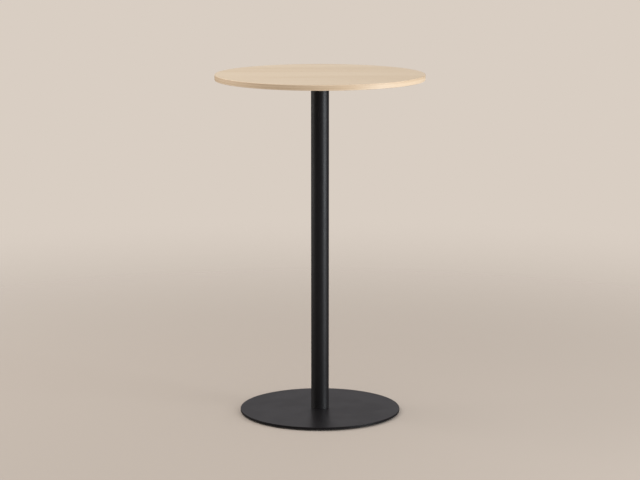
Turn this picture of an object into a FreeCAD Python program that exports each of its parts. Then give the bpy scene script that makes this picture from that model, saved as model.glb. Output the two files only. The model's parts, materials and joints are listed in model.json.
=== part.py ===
import FreeCAD, Part
import os
import re
import Sketcher

# A standing meeting table: a round laminated top on a straight steel column, which stands on
# a flat round base plate with four screw glides. A cast spider carries the top, and a tie rod
# inside the column draws the spider down on to it. Millimetres and degrees, +Z up. The origin
# is on the floor, in the middle of the column.

# Driving dimensions: name, size, what it measures.
SIZES = (
    ("table_height", 1150, "floor to the surface of the top"),
    ("top_diameter", 700, "top, over its edge band"),
    ("board_thickness", 18, "top, with both laminates"),
    ("laminate_thickness", 0.8, "each laminate sheet"),
    ("band_thickness", 2, "edge band"),
    ("band_round", 1.5, "arrises of the edge band, radius"),
    ("glue_line", 0.05, "between the edge band and the board"),
    ("column_diameter", 60, "outside of the column tube"),
    ("column_wall", 2, "wall of the column tube"),
    ("base_diameter", 540, "base plate"),
    ("base_thickness", 8, "base plate"),
    ("base_edge_chamfer", 0.8, "rim of the base plate"),
    ("thread_fit", 0.05, "radial play of a thread in its hole"),
    ("hole_spare", 0.5, "depth of a blind hole past the end of what it takes"),
    ("screw_hole_play", 0.5, "clearance hole past a screw or the rod, all round"),
    ("tip_chamfer", 1, "ends of the rod, screws and studs"),
    ("base_bearing", 45, "first glide and first boss screw, degrees from +X"),
    ("glide_count", 4, "glides, a number"),
    ("glide_inset", 30, "glide axis from the rim of the base plate"),
    ("foot_diameter", 30, "glide foot"),
    ("foot_height", 4, "glide foot, and so the gap under the plate"),
    ("sole_chamfer", 0.8, "rim of the glide's sole"),
    ("sole_thickness", 1.3, "glide foot below the flange of its stud"),
    ("flute_count", 10, "finger flutes round a glide foot, a number"),
    ("flute_radius", 2.5, "finger flute"),
    ("flute_depth", 0.6, "finger flute"),
    ("stem_diameter", 8, "glide stud, M8"),
    ("stem_length", 6, "glide stud above the foot"),
    ("flange_diameter", 16, "flange of the glide stud"),
    ("flange_thickness", 1.5, "flange of the glide stud"),
    ("boss_height", 25, "boss in the foot of the column"),
    ("boss_fit", 0.2, "radial gap between the boss and the tube"),
    ("boss_lead", 1.5, "chamfer round the top of the boss"),
    ("boss_screw_count", 3, "screws from the base plate into the boss, a number"),
    ("boss_screw_ring", 18, "radius of their circle"),
    ("boss_screw_diameter", 8, "M8"),
    ("boss_screw_length", 25, "countersunk screw with its head"),
    ("boss_head_diameter", 16, "countersunk head"),
    ("boss_head_land", 0.3, "straight rim of the countersunk head"),
    ("boss_head_play", 0.5, "countersink past the head, all round"),
    ("boss_socket_width", 5, "hexagon socket across flats"),
    ("boss_socket_depth", 3.5, "hexagon socket"),
    ("rod_diameter", 10, "tie rod, M10"),
    ("rod_foot_gap", 1, "tie rod above the base plate"),
    ("rod_projection", 1.5, "tie rod past its nut"),
    ("nut_width", 16, "tie rod nut across flats"),
    ("nut_height", 8, "tie rod nut"),
    ("nut_chamfer", 0.8, "corners of the nut, along its axis"),
    ("rod_washer_diameter", 20, "flat washer of the tie rod"),
    ("rod_washer_thickness", 2, "flat washer of the tie rod"),
    ("spring_washer_diameter", 18, "spring washer of the tie rod"),
    ("spring_washer_thickness", 2.2, "spring washer of the tie rod"),
    ("spring_washer_slit", 2, "slit in the spring washer"),
    ("hub_diameter", 76, "hub of the spider at the board"),
    ("hub_depth", 30, "board down to the seat on the column"),
    ("spigot_length", 22, "spigot of the spider in the column"),
    ("spigot_wall", 5, "spigot, round its cored hollow"),
    ("spigot_lead", 1.5, "chamfer round the end of the spigot"),
    ("spigot_fit", 0.2, "radial gap between the spigot and the tube"),
    ("recess_play", 4, "nut recess past the flat washer, all round"),
    ("recess_headroom", 0.5, "end of the tie rod to the board"),
    ("arm_count", 4, "arms of the spider, a number"),
    ("arm_bearing", 45, "first arm, degrees from +X"),
    ("arm_reach", 170, "column axis to the end of an arm"),
    ("arm_root_width", 42, "arm, where the sides would meet the axis"),
    ("arm_tip_width", 28, "arm, at its rounded end"),
    ("web_thickness", 4, "plate of the arm against the board"),
    ("rib_thickness", 3.5, "side ribs of the arm"),
    ("rib_root_depth", 26, "side ribs at the hub, from the board"),
    ("rib_tip_depth", 9, "side ribs at the end, from the board"),
    ("channel_round", 2, "inner corners between web and ribs, radius"),
    ("draft_angle", 1.5, "draft of the cast sides, degrees"),
    ("cross_rib_depth", 6, "cross rib below the web"),
    ("seat_diameter", 16, "machined seats under the screw heads"),
    ("seat_height", 1, "machined seats below the web"),
    ("outer_screw_inset", 16, "outer screw from the end of the arm"),
    ("screw_spacing", 62, "outer screw to inner screw"),
    ("top_screw_diameter", 6, "M6"),
    ("top_screw_length", 16, "under the head"),
    ("top_head_diameter", 10.5, "button head"),
    ("top_head_height", 3.3, "button head"),
    ("top_head_round", 2.4, "button head, radius of its edge"),
    ("top_socket_width", 4, "hexagon socket across flats"),
    ("top_socket_depth", 2, "hexagon socket"),
    ("top_washer_diameter", 12, "washer under a button head"),
    ("top_washer_thickness", 1.6, "washer under a button head"),
    ("insert_diameter", 10, "threaded insert in the board"),
    ("insert_length", 13, "threaded insert in the board"),
    ("insert_chamfer", 0.8, "upper end of the insert"),
)

# Sizes and places that follow from the driving ones.
DERIVED = {
    "board_underside": "table_height - board_thickness",
    "board_radius": "top_diameter / 2 - band_thickness - glue_line",
    "core_thickness": "board_thickness - 2 * laminate_thickness",
    "insert_hole_radius": "insert_diameter / 2 + thread_fit",
    "insert_hole_depth": "insert_length + hole_spare - laminate_thickness",
    "base_top": "foot_height + base_thickness",
    "tube_bore": "column_diameter / 2 - column_wall",
    "spider_seat": "board_underside - hub_depth",
    "glide_ring": "base_diameter / 2 - glide_inset",
    "stem_hole_radius": "stem_diameter / 2 + thread_fit",
    "flange_top": "sole_thickness + flange_thickness",
    "boss_head_sink": "boss_head_play - boss_head_land - thread_fit",
    "boss_screw_reach": "boss_head_sink + boss_screw_length - base_thickness",
    "rod_hole_radius": "rod_diameter / 2 + screw_hole_play",
    "nut_stack": "rod_washer_thickness + spring_washer_thickness + nut_height",
    "recess_depth": "nut_stack + rod_projection + recess_headroom",
    "recess_floor": "board_underside - recess_depth",
    "recess_radius": "rod_washer_diameter / 2 + recess_play",
    "spigot_radius": "tube_bore - spigot_fit",
    "outer_screw": "arm_reach - outer_screw_inset",
    "inner_screw": "outer_screw - screw_spacing",
    "tip_centre": "arm_reach - arm_tip_width / 2",
    "top_head_level": "board_underside - web_thickness - seat_height - top_washer_thickness"
                      " - top_head_height",
}

# Lengths closer than this are the same, and a cut takes more than this off a body's volume.
TOLERANCE = 1e-4

DOC = FreeCAD.newDocument("standing_meeting_table")
SHEET = DOC.addObject("Spreadsheet::Sheet", "Sizes")
SIZE_NAMES = {name for name, _size, _note in SIZES}


# ---- the sheet and its formulas ---------------------------------------------------------

def fill_sheet():
    """Write each driving dimension into the sheet: note, number and alias."""
    for row, (name, size, note) in enumerate(SIZES, start=1):
        SHEET.set(f"A{row}", note)
        SHEET.set(f"B{row}", str(size))
        SHEET.setAlias(f"B{row}", name)
    DOC.recompute()


def formula(text):
    """Turn a formula of plain names into an expression on the sheet's cells."""
    def spell(match):
        word = match.group()
        if word in DERIVED:
            return "(" + formula(DERIVED[word]) + ")"
        if word in SIZE_NAMES:
            return "Sizes." + word
        return word
    return re.sub(r"[a-z][a-z_]*", spell, text)


def value(text):
    """The number that a formula gives now."""
    return float(SHEET.evalExpression(formula(text)))


# ---- bodies and sketches ----------------------------------------------------------------

def new_body(label, level="0", bearing="0", ring="0"):
    """A body whose frame is turned to a bearing and stands at a level, out on a ring."""
    body = DOC.addObject("PartDesign::Body", label)
    body.Label = label
    body.setExpression("Placement.Base.z", formula(level))
    body.setExpression("Placement.Rotation.Angle", formula(f"({bearing}) * 1deg"))
    if ring != "0":
        body.setExpression("Placement.Base.x", formula(f"({ring}) * cos(({bearing}) * 1deg)"))
        body.setExpression("Placement.Base.y", formula(f"({ring}) * sin(({bearing}) * 1deg)"))
    return body


def origin_part(body, role):
    """The body's own origin plane or axis of that role."""
    return next(item for item in body.Origin.OriginFeatures if item.Role == role)


def new_sketch(body, name, plane="XY_Plane", level="0"):
    """An empty sketch on an origin plane, raised along the plane's normal to a level."""
    sketch = body.newObject("Sketcher::SketchObject", name)
    sketch.AttachmentSupport = (origin_part(body, plane), [""])
    sketch.MapMode = "FlatFace"
    if level != "0":
        sketch.setExpression("AttachmentOffset.Base.z", formula(level))
    return sketch


def bind(sketch, text, kind, *elements):
    """Add a constraint whose size is a formula."""
    index = sketch.addConstraint(Sketcher.Constraint(kind, *elements, value(text)))
    sketch.setExpression(f"Constraints[{index}]", formula(text))


def place_point(sketch, edge, point, x, y):
    """Hold a point at (x, y); a zero puts it on the axis, and None leaves it free."""
    if x == "0":
        sketch.addConstraint(Sketcher.Constraint("PointOnObject", edge, point, -2))
    elif x is not None:
        bind(sketch, x, "DistanceX", -1, 1, edge, point)
    if y == "0":
        sketch.addConstraint(Sketcher.Constraint("PointOnObject", edge, point, -1))
    elif y is not None:
        bind(sketch, y, "DistanceY", -1, 1, edge, point)


def add_outline(sketch, corners):
    """A closed outline of straight lines through corners, given as (x, y) formulas.

    A corner in line with the one before it takes a vertical or horizontal constraint, so
    each size is written once.
    """
    points = [FreeCAD.Vector(value(x), value(y), 0) for x, y in corners]
    count = len(points)
    edges = []
    for index, start in enumerate(points):
        line = Part.LineSegment(start, points[(index + 1) % count])
        edges.append(sketch.addGeometry(line, False))
    for index, edge in enumerate(edges):
        following = edges[(index + 1) % count]
        sketch.addConstraint(Sketcher.Constraint("Coincident", edge, 2, following, 1))
    for index, (x, y) in enumerate(corners):
        last_x, last_y = corners[index - 1] if index else (None, None)
        if x == last_x:
            sketch.addConstraint(Sketcher.Constraint("Vertical", edges[index - 1]))
        if y == last_y:
            sketch.addConstraint(Sketcher.Constraint("Horizontal", edges[index - 1]))
        place_point(sketch, edges[index], 1, None if x == last_x else x,
                    None if y == last_y else y)


def add_circle(sketch, radius, x="0", y="0", construction=False):
    """A circle with its radius and centre held by formulas."""
    centre = FreeCAD.Vector(value(x), value(y), 0)
    circle = Part.Circle(centre, FreeCAD.Vector(0, 0, 1), value(radius))
    edge = sketch.addGeometry(circle, construction)
    place_point(sketch, edge, 3, x, y)
    bind(sketch, radius, "Radius", edge)
    return edge


def add_hexagon(sketch, width, x="0"):
    """A regular hexagon of a width across flats, round (x, 0), with two upright sides."""
    radius = f"({width}) / sqrt(3)"
    ring = add_circle(sketch, radius, x, construction=True)
    spoke = FreeCAD.Vector(value(radius), 0, 0)
    centre = FreeCAD.Vector(value(x), 0, 0)
    turn = FreeCAD.Rotation(FreeCAD.Vector(0, 0, 1), 60)
    corner = FreeCAD.Rotation(FreeCAD.Vector(0, 0, 1), 30).multVec(spoke)
    edges = []
    for _side in range(6):
        following = turn.multVec(corner)
        line = Part.LineSegment(centre + corner, centre + following)
        edges.append(sketch.addGeometry(line, False))
        corner = following
    for index, edge in enumerate(edges):
        following = edges[(index + 1) % len(edges)]
        sketch.addConstraint(Sketcher.Constraint("Coincident", edge, 2, following, 1))
        sketch.addConstraint(Sketcher.Constraint("PointOnObject", edge, 1, ring))
    for edge in edges[1:]:
        sketch.addConstraint(Sketcher.Constraint("Equal", edges[0], edge))
    sketch.addConstraint(Sketcher.Constraint("Vertical", edges[2]))


# ---- features ---------------------------------------------------------------------------

def add_feature(body, kind, name, sketch):
    """A sketched feature at the end of the body's history."""
    item = body.newObject("PartDesign::" + kind, name)
    item.Profile = sketch
    body.Tip = item
    return item


def pad(body, name, sketch, length, downwards=False):
    """Pad a sketch by a length, along its normal or against it."""
    item = add_feature(body, "Pad", name, sketch)
    item.Reversed = downwards
    item.setExpression("Length", formula(length))
    DOC.recompute()
    return item


def check_cut(item, volume):
    """Stop if a cut took nothing off a body of that volume."""
    DOC.recompute()
    if not item.Shape.Volume < volume - TOLERANCE:
        raise ValueError(f"{item.Label} cuts nothing")
    return item


def pocket(body, name, sketch, depth=None, upwards=False):
    """Cut a sketch out to a depth, or right through without one."""
    volume = body.Tip.Shape.Volume
    item = add_feature(body, "Pocket", name, sketch)
    item.Reversed = upwards
    if depth is None:
        item.Type = "ThroughAll"
    else:
        item.setExpression("Length", formula(depth))
    return check_cut(item, volume)


def hole(body, name, radius, x, depth=None, sink=None):
    """Drill from below at (x, 0), blind or through, with a countersink if one is given."""
    sketch = new_sketch(body, name + "_centre")
    add_circle(sketch, radius, x)
    DOC.recompute()
    volume = body.Tip.Shape.Volume
    item = add_feature(body, "Hole", name, sketch)
    item.Reversed = True
    item.setExpression("Diameter", formula(f"2 * ({radius})"))
    if depth is None:
        item.DepthType = "ThroughAll"
    else:
        item.DepthType = "Dimension"
        item.DrillPoint = "Flat"
        item.setExpression("Depth", formula(depth))
    if sink is not None:
        item.HoleCutType = "Countersink"
        item.HoleCutCountersinkAngle = 90
        item.setExpression("HoleCutDiameter", formula(f"2 * ({sink})"))
    return check_cut(item, volume)


def turn(body, name, corners, axis="0", groove=False):
    """Turn a profile of (radius, height) corners about an upright axis at (axis, 0)."""
    sketch = new_sketch(body, name + "_profile", "XZ_Plane")
    if axis == "0":
        add_outline(sketch, corners)
        centre_line = "V_Axis"
    else:
        add_outline(sketch, [(f"{axis} + {x}", y) for x, y in corners])
        top = max(value(y) for _x, y in corners)
        start = FreeCAD.Vector(value(axis), 0, 0)
        edge = sketch.addGeometry(Part.LineSegment(start, start + FreeCAD.Vector(0, top, 0)), True)
        place_point(sketch, edge, 1, axis, "0")
        place_point(sketch, edge, 2, axis, corners[-1][1])
        centre_line = "Axis0"
    volume = body.Tip.Shape.Volume if groove else 0
    item = add_feature(body, "Groove" if groove else "Revolution", name, sketch)
    item.ReferenceAxis = (sketch, [centre_line])
    item.Angle = 360
    if groove:
        return check_cut(item, volume)
    DOC.recompute()
    return item


def polar(body, name, originals, count, whole=False):
    """Repeat features, or the whole body so far, round the body's own upright axis."""
    item = body.newObject("PartDesign::PolarPattern", name)
    if whole:
        item.TransformMode = "Whole shape"
    else:
        item.Originals = originals
    item.Axis = (origin_part(body, "Z_Axis"), [""])
    item.Angle = 360
    item.setExpression("Occurrences", formula(count))
    body.Tip = item
    DOC.recompute()
    return item


def dress(body, kind, name, size, wanted):
    """Fillet or chamfer the edges of the body so far that pass the test `wanted`."""
    base = body.Tip
    names = [f"Edge{number}" for number, edge in enumerate(base.Shape.Edges, start=1)
             if wanted(edge)]
    item = body.newObject("PartDesign::" + kind, name)
    item.Base = (base, names)
    item.setExpression("Radius" if kind == "Fillet" else "Size", formula(size))
    body.Tip = item
    DOC.recompute()
    return item


def is_ring(edge, radius, level=None):
    """Whether an edge is a circle round the body's axis, of that radius and level."""
    if not isinstance(edge.Curve, Part.Circle):
        return False
    centre = edge.Curve.Center
    if FreeCAD.Vector(centre.x, centre.y, 0).Length > TOLERANCE:
        return False
    if level is not None and abs(centre.z - value(level)) > TOLERANCE:
        return False
    return abs(edge.Curve.Radius - value(radius)) < TOLERANCE


# ---- the top ----------------------------------------------------------------------------

def build_sheet(label, level, thickness):
    """A round sheet of the board, as wide as the edge band lets it be."""
    body = new_body(label, level, "arm_bearing")
    sketch = new_sketch(body, label + "_outline")
    add_circle(sketch, "board_radius")
    pad(body, label + "_sheet", sketch, thickness)
    return body


def drill_insert_holes(body, depth=None):
    """Drill the holes of the threaded inserts into the underside of a sheet."""
    drilled = [hole(body, f"{body.Label}_{ring}", "insert_hole_radius", ring, depth)
               for ring in ("inner_screw", "outer_screw")]
    polar(body, body.Label + "_holes", drilled, "arm_count")


def build_edge_band():
    """The band glued round the board, over its whole thickness."""
    body = new_body("edge_band", "board_underside")
    inside = "top_diameter / 2 - band_thickness"
    outside = "top_diameter / 2"
    turn(body, "band", [(inside, "0"), (outside, "0"), (outside, "board_thickness"),
                        (inside, "board_thickness")])
    dress(body, "Fillet", "band_arrises", "band_round", lambda edge: is_ring(edge, outside))


def build_inserts():
    """The threaded inserts, flush with the underside of the board."""
    body = new_body("threaded_inserts", "board_underside", "arm_bearing")
    bore = "top_screw_diameter / 2 + thread_fit"
    outside = "insert_diameter / 2"
    sleeves = [turn(body, f"insert_{ring}", [
        (bore, "0"),
        (outside, "0"),
        (outside, "insert_length - insert_chamfer"),
        (f"{outside} - insert_chamfer", "insert_length"),
        (bore, "insert_length"),
    ], ring) for ring in ("inner_screw", "outer_screw")]
    polar(body, "insert_ring", sleeves, "arm_count")


# ---- the spider and its screws ----------------------------------------------------------

def add_arm_outline(sketch, inset):
    """An arm seen from above: tapered sides run into a round end, all set in by an inset."""
    half_root = f"arm_root_width / 2 - {inset}"
    tip_radius = f"arm_tip_width / 2 - {inset}"
    root = FreeCAD.Vector(0, value(half_root), 0)
    centre = FreeCAD.Vector(value("tip_centre"), 0, 0)
    radius = FreeCAD.Vector(0, value(tip_radius), 0)
    end = FreeCAD.Vector(value(tip_radius), 0, 0)
    left = sketch.addGeometry(Part.LineSegment(root, centre + radius), False)
    tip = sketch.addGeometry(Part.Arc(centre - radius, centre + end, centre + radius), False)
    right = sketch.addGeometry(Part.LineSegment(centre - radius, -root), False)
    close = sketch.addGeometry(Part.LineSegment(-root, root), False)
    sketch.addConstraint(Sketcher.Constraint("Tangent", left, 2, tip, 2))
    sketch.addConstraint(Sketcher.Constraint("Tangent", right, 1, tip, 1))
    sketch.addConstraint(Sketcher.Constraint("Coincident", right, 2, close, 1))
    sketch.addConstraint(Sketcher.Constraint("Coincident", close, 2, left, 1))
    place_point(sketch, left, 1, "0", half_root)
    place_point(sketch, right, 2, "0", f"-({half_root})")
    place_point(sketch, tip, 3, "tip_centre", "0")
    bind(sketch, tip_radius, "Radius", tip)


def half_width(x):
    """Half the width of an arm at a distance from the axis, at the board."""
    return f"(arm_root_width - (arm_root_width - arm_tip_width) * ({x}) / tip_centre) / 2"


def is_channel_corner(edge):
    """Whether an edge of the arm lies where its web meets the side ribs."""
    floor = -value("web_thickness")
    level = all(abs(vertex.Z - floor) < TOLERANCE for vertex in edge.Vertexes)
    return level and edge.BoundBox.XMax > TOLERANCE


def build_arm(body):
    """One arm of the spider: a web with two side ribs, a cross rib, seats and holes."""
    outline = new_sketch(body, "arm_outline")
    add_arm_outline(outline, "0")
    arm = pad(body, "arm", outline, "rib_root_depth", downwards=True)
    arm.setExpression("TaperAngle", formula("-draft_angle"))

    slope = new_sketch(body, "rib_slope", "XZ_Plane")
    add_outline(slope, [
        ("column_diameter / 2", "-rib_root_depth"),
        ("arm_reach", "-rib_tip_depth"),
        ("arm_reach", "-2 * rib_root_depth"),
        ("column_diameter / 2", "-2 * rib_root_depth"),
    ])
    volume = body.Tip.Shape.Volume
    slope_cut = add_feature(body, "Pocket", "rib_taper", slope)
    slope_cut.Type = "ThroughAll"
    slope_cut.Midplane = True
    check_cut(slope_cut, volume)

    channel = new_sketch(body, "channel_outline", level="-web_thickness")
    add_arm_outline(channel, "rib_thickness")
    channel_cut = pocket(body, "channel", channel, "rib_root_depth")
    channel_cut.setExpression("TaperAngle", formula("draft_angle"))
    DOC.recompute()
    dress(body, "Fillet", "channel_corners", "channel_round", is_channel_corner)

    cross_place = "(inner_screw + outer_screw) / 2"
    cross_near = f"{cross_place} - rib_thickness / 2"
    cross_far = f"{cross_place} + rib_thickness / 2"
    cross_half = f"{half_width(cross_place)} - rib_thickness / 2"
    cross = new_sketch(body, "cross_rib_outline", level="-web_thickness")
    add_outline(cross, [(cross_near, f"-({cross_half})"), (cross_far, f"-({cross_half})"),
                        (cross_far, cross_half), (cross_near, cross_half)])
    pad(body, "cross_rib", cross, "cross_rib_depth", downwards=True)

    seats = new_sketch(body, "seat_outlines", level="-web_thickness")
    bores = new_sketch(body, "screw_hole_outlines")
    for ring in ("inner_screw", "outer_screw"):
        add_circle(seats, "seat_diameter / 2", ring)
        add_circle(bores, "top_screw_diameter / 2 + screw_hole_play", ring)
    pad(body, "screw_seats", seats, "seat_height", downwards=True)
    pocket(body, "screw_holes", bores)


def build_spider():
    """The cast spider: ribbed arms round a hub that seats on the column and plugs it."""
    body = new_body("top_spider", "board_underside", "arm_bearing")
    build_arm(body)
    polar(body, "arms", None, "arm_count", whole=True)

    spigot_end = "-hub_depth - spigot_length"
    turn(body, "hub", [
        ("0", "0"),
        ("hub_diameter / 2", "0"),
        ("hub_diameter / 2", "-web_thickness"),
        ("column_diameter / 2", "-rib_root_depth"),
        ("column_diameter / 2", "-hub_depth"),
        ("spigot_radius", "-hub_depth"),
        ("spigot_radius", f"{spigot_end} + spigot_lead"),
        ("spigot_radius - spigot_lead", spigot_end),
        ("0", spigot_end),
    ])
    turn(body, "nut_recess", [
        ("0", "0"),
        ("recess_radius", "0"),
        ("recess_radius", "-recess_depth"),
        ("rod_hole_radius", "-recess_depth"),
        ("rod_hole_radius", "-hub_depth"),
        ("spigot_radius - spigot_wall", "-hub_depth"),
        ("spigot_radius - spigot_wall", spigot_end),
        ("0", spigot_end),
    ], groove=True)


def build_top_screws():
    """The button head screws that hold the spider to the board."""
    body = new_body("spider_screws", "top_head_level", "arm_bearing")
    head = "top_head_diameter / 2"
    shank = "top_screw_diameter / 2"
    end = "top_head_height + top_screw_length"
    made = []
    for ring in ("inner_screw", "outer_screw"):
        made.append(turn(body, f"screw_{ring}", [
            ("0", "0"),
            (f"{head} - top_head_round", "0"),
            (head, "top_head_round"),
            (head, "top_head_height"),
            (shank, "top_head_height"),
            (shank, f"{end} - tip_chamfer"),
            (f"{shank} - tip_chamfer", end),
            ("0", end),
        ], ring))
        socket = new_sketch(body, f"socket_{ring}")
        add_hexagon(socket, "top_socket_width", ring)
        made.append(pocket(body, f"socket_cut_{ring}", socket, "top_socket_depth", upwards=True))
    polar(body, "screw_ring", made, "arm_count")


def build_top_washers():
    """The flat washers under the button heads."""
    body = new_body("spider_screw_washers", "top_head_level + top_head_height", "arm_bearing")
    bore = "top_screw_diameter / 2 + screw_hole_play / 2"
    outside = "top_washer_diameter / 2"
    made = [turn(body, f"washer_{ring}", [
        (bore, "0"),
        (outside, "0"),
        (outside, "top_washer_thickness"),
        (bore, "top_washer_thickness"),
    ], ring) for ring in ("inner_screw", "outer_screw")]
    polar(body, "washer_ring", made, "arm_count")


# ---- the column and its tie rod ---------------------------------------------------------

def build_column():
    """The column tube, from the base plate to the seat of the spider."""
    body = new_body("column_tube", "base_top")
    sketch = new_sketch(body, "tube_section")
    add_circle(sketch, "column_diameter / 2")
    add_circle(sketch, "tube_bore")
    pad(body, "tube", sketch, "spider_seat - base_top")


def build_boss():
    """The steel boss in the foot of the column, which takes the rod and the base screws."""
    body = new_body("column_boss", "base_top", "base_bearing")
    outline = new_sketch(body, "boss_outline")
    add_circle(outline, "tube_bore - boss_fit")
    add_circle(outline, "rod_diameter / 2 + thread_fit")
    pad(body, "boss", outline, "boss_height")
    dress(body, "Chamfer", "boss_lead_in", "boss_lead",
          lambda edge: is_ring(edge, "tube_bore - boss_fit", "boss_height"))
    tapped = hole(body, "boss_thread", "boss_screw_diameter / 2 + thread_fit",
                  "boss_screw_ring", "boss_screw_reach + hole_spare")
    polar(body, "boss_threads", [tapped], "boss_screw_count")


def build_boss_screws():
    """The countersunk screws from under the base plate into the boss."""
    body = new_body("boss_screws", "foot_height + boss_head_sink", "base_bearing")
    head = "boss_head_diameter / 2"
    shank = "boss_screw_diameter / 2"
    screw = turn(body, "boss_screw", [
        ("0", "0"),
        (head, "0"),
        (head, "boss_head_land"),
        (shank, f"boss_head_land + {head} - {shank}"),
        (shank, "boss_screw_length - tip_chamfer"),
        (f"{shank} - tip_chamfer", "boss_screw_length"),
        ("0", "boss_screw_length"),
    ], "boss_screw_ring")
    socket = new_sketch(body, "boss_socket")
    add_hexagon(socket, "boss_socket_width", "boss_screw_ring")
    socket_cut = pocket(body, "boss_socket_cut", socket, "boss_socket_depth", upwards=True)
    polar(body, "boss_screw_set", [screw, socket_cut], "boss_screw_count")


def build_rod():
    """The tie rod, from the boss up through the spider."""
    body = new_body("tie_rod", "base_top + rod_foot_gap")
    sketch = new_sketch(body, "rod_section")
    add_circle(sketch, "rod_diameter / 2")
    length = "recess_floor + nut_stack + rod_projection - base_top - rod_foot_gap"
    pad(body, "rod", sketch, length)
    dress(body, "Chamfer", "rod_ends", "tip_chamfer",
          lambda edge: is_ring(edge, "rod_diameter / 2"))


def build_rod_washers():
    """The flat washer and the split spring washer on the tie rod."""
    flat = new_body("tie_rod_washer", "recess_floor")
    sketch = new_sketch(flat, "flat_washer_outline")
    add_circle(sketch, "rod_washer_diameter / 2")
    add_circle(sketch, "rod_hole_radius")
    pad(flat, "flat_washer", sketch, "rod_washer_thickness")

    spring = new_body("tie_rod_spring_washer", "recess_floor + rod_washer_thickness")
    sketch = new_sketch(spring, "spring_washer_outline")
    add_circle(sketch, "spring_washer_diameter / 2")
    add_circle(sketch, "rod_diameter / 2 + screw_hole_play / 2")
    pad(spring, "spring_washer", sketch, "spring_washer_thickness")
    slit = new_sketch(spring, "slit_outline")
    half_slit = "spring_washer_slit / 2"
    add_outline(slit, [("0", f"-{half_slit}"), ("spring_washer_diameter", f"-{half_slit}"),
                       ("spring_washer_diameter", half_slit), ("0", half_slit)])
    pocket(spring, "slit", slit, upwards=True)


def build_nut():
    """The hexagon nut of the tie rod, with its corners chamfered on both faces."""
    body = new_body("tie_rod_nut", "recess_floor + nut_stack - nut_height")
    outline = new_sketch(body, "nut_outline")
    add_hexagon(outline, "nut_width")
    add_circle(outline, "rod_diameter / 2 + thread_fit")
    pad(body, "nut", outline, "nut_height")
    corner = "nut_width / sqrt(3)"
    flat = "nut_width / 2"
    turn(body, "lower_corners", [(flat, "0"), (corner, "0"), (corner, "nut_chamfer")],
         groove=True)
    turn(body, "upper_corners", [(flat, "nut_height"), (corner, "nut_height"),
                                 (corner, "nut_height - nut_chamfer")], groove=True)


# ---- the base and its glides ------------------------------------------------------------

def build_base():
    """The base plate, drilled from below for the boss screws and the glides."""
    body = new_body("base_plate", "foot_height", "base_bearing")
    outline = new_sketch(body, "plate_outline")
    add_circle(outline, "base_diameter / 2")
    pad(body, "plate", outline, "base_thickness")
    dress(body, "Chamfer", "plate_rim", "base_edge_chamfer",
          lambda edge: is_ring(edge, "base_diameter / 2"))
    screw_hole = hole(body, "screw_hole", "boss_screw_diameter / 2 + screw_hole_play",
                      "boss_screw_ring", sink="boss_head_diameter / 2 + boss_head_play")
    polar(body, "screw_holes", [screw_hole], "boss_screw_count")
    glide_hole = hole(body, "glide_hole", "stem_hole_radius", "glide_ring",
                      "stem_length + hole_spare")
    polar(body, "glide_holes", [glide_hole], "glide_count")


def build_glide(number):
    """One glide: a steel stud moulded into a nylon foot with finger flutes round it."""
    bearing = f"base_bearing + {number - 1} * 360 / glide_count"
    stem = "stem_diameter / 2"
    stem_end = "foot_height + stem_length"

    stud = new_body(f"glide_stud_{number}", bearing=bearing, ring="glide_ring")
    turn(stud, f"stud_{number}", [
        ("0", "sole_thickness"),
        ("flange_diameter / 2", "sole_thickness"),
        ("flange_diameter / 2", "flange_top"),
        (stem, "flange_top"),
        (stem, f"{stem_end} - tip_chamfer"),
        (f"{stem} - tip_chamfer", stem_end),
        ("0", stem_end),
    ])

    foot = new_body(f"glide_foot_{number}", bearing=bearing, ring="glide_ring")
    cavity = "flange_diameter / 2 + thread_fit"
    turn(foot, f"foot_{number}", [
        ("0", "0"),
        ("foot_diameter / 2", "0"),
        ("foot_diameter / 2", "foot_height"),
        ("stem_hole_radius", "foot_height"),
        ("stem_hole_radius", "flange_top + thread_fit"),
        (cavity, "flange_top + thread_fit"),
        (cavity, "sole_thickness - thread_fit"),
        ("0", "sole_thickness - thread_fit"),
    ])
    dress(foot, "Chamfer", f"sole_rim_{number}", "sole_chamfer",
          lambda edge: is_ring(edge, "foot_diameter / 2", "0"))
    outline = new_sketch(foot, f"flute_outline_{number}")
    add_circle(outline, "flute_radius", "foot_diameter / 2 + flute_radius - flute_depth")
    flute = pocket(foot, f"flute_{number}", outline, upwards=True)
    polar(foot, f"flutes_{number}", [flute], "flute_count")


# ---- the whole table --------------------------------------------------------------------

def build_table():
    """Build every piece of the table."""
    build_sheet("top_laminate", "table_height - laminate_thickness", "laminate_thickness")
    core = build_sheet("top_core", "board_underside + laminate_thickness", "core_thickness")
    drill_insert_holes(core, "insert_hole_depth")
    backing = build_sheet("backing_laminate", "board_underside", "laminate_thickness")
    drill_insert_holes(backing)
    build_edge_band()
    build_inserts()
    build_spider()
    build_top_screws()
    build_top_washers()
    build_column()
    build_boss()
    build_boss_screws()
    build_rod()
    build_rod_washers()
    build_nut()
    build_base()
    for number in range(1, round(value("glide_count")) + 1):
        build_glide(number)


def check_table(bodies):
    """Stop if any object failed, any sketch is loose or any piece isn't a valid solid."""
    for item in DOC.Objects:
        if {"Invalid", "Error"} & set(item.State):
            raise ValueError(f"{item.Label} failed: {item.State}")
        if item.TypeId == "Sketcher::SketchObject" and not item.FullyConstrained:
            raise ValueError(f"{item.Label} isn't fully constrained")
    for body in bodies:
        shape = body.Shape
        if shape.isNull() or not shape.isValid() or not shape.Solids:
            raise ValueError(f"{body.Label} has no valid solid")


def main():
    """Build, check and write the table."""
    fill_sheet()
    build_table()
    DOC.recompute()
    bodies = [item for item in DOC.Objects if item.TypeId == "PartDesign::Body"]
    check_table(bodies)
    os.makedirs("parts", exist_ok=True)
    for body in bodies:
        body.Shape.exportStep(f"parts/{body.Label}.step")
        print(body.Label, len(body.Shape.Solids), round(body.Shape.Volume, 1))


main()
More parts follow.
